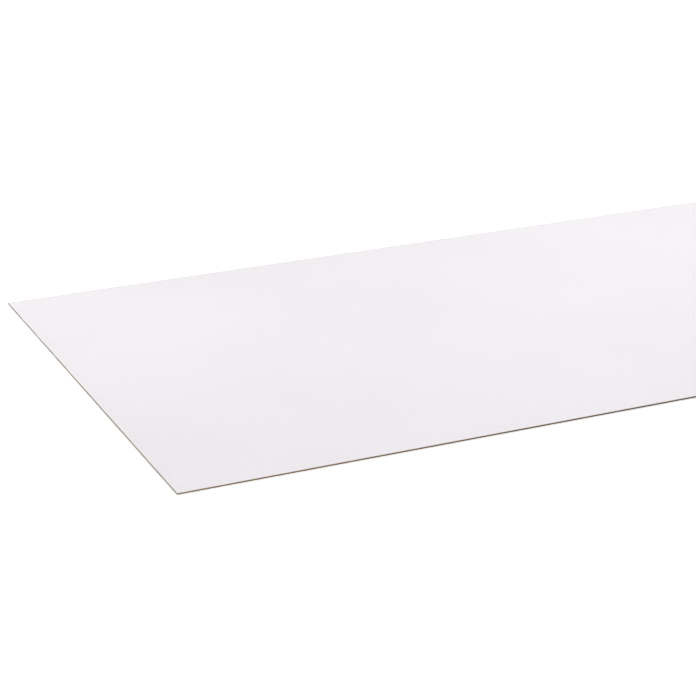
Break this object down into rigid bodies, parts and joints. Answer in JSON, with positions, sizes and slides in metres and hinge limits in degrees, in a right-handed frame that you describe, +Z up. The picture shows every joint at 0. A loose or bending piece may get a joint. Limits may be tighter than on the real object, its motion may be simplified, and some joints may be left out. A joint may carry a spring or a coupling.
{
  "type": "mdf panel",
  "caption": "Thin rectangular fibreboard sheet with a smooth white facing on its upper face, bare brown board on its square-sawn edges and underside.",
  "frame": {"origin": "centre of the underside, on the floor the sheet lies on", "axes": "+X along the sheet's length, +Y across its width, +Z up through its thickness, out of the white face"},
  "size_m": [2.44, 1.22, 0.003],
  "materials": {
    "raw_mdf": "matte",
    "white_facing": "satin"
  },
  "bodies": {
    "root": {"mdf_board": "raw_mdf", "white_facing": "white_facing"}
  },
  "joints": []
}
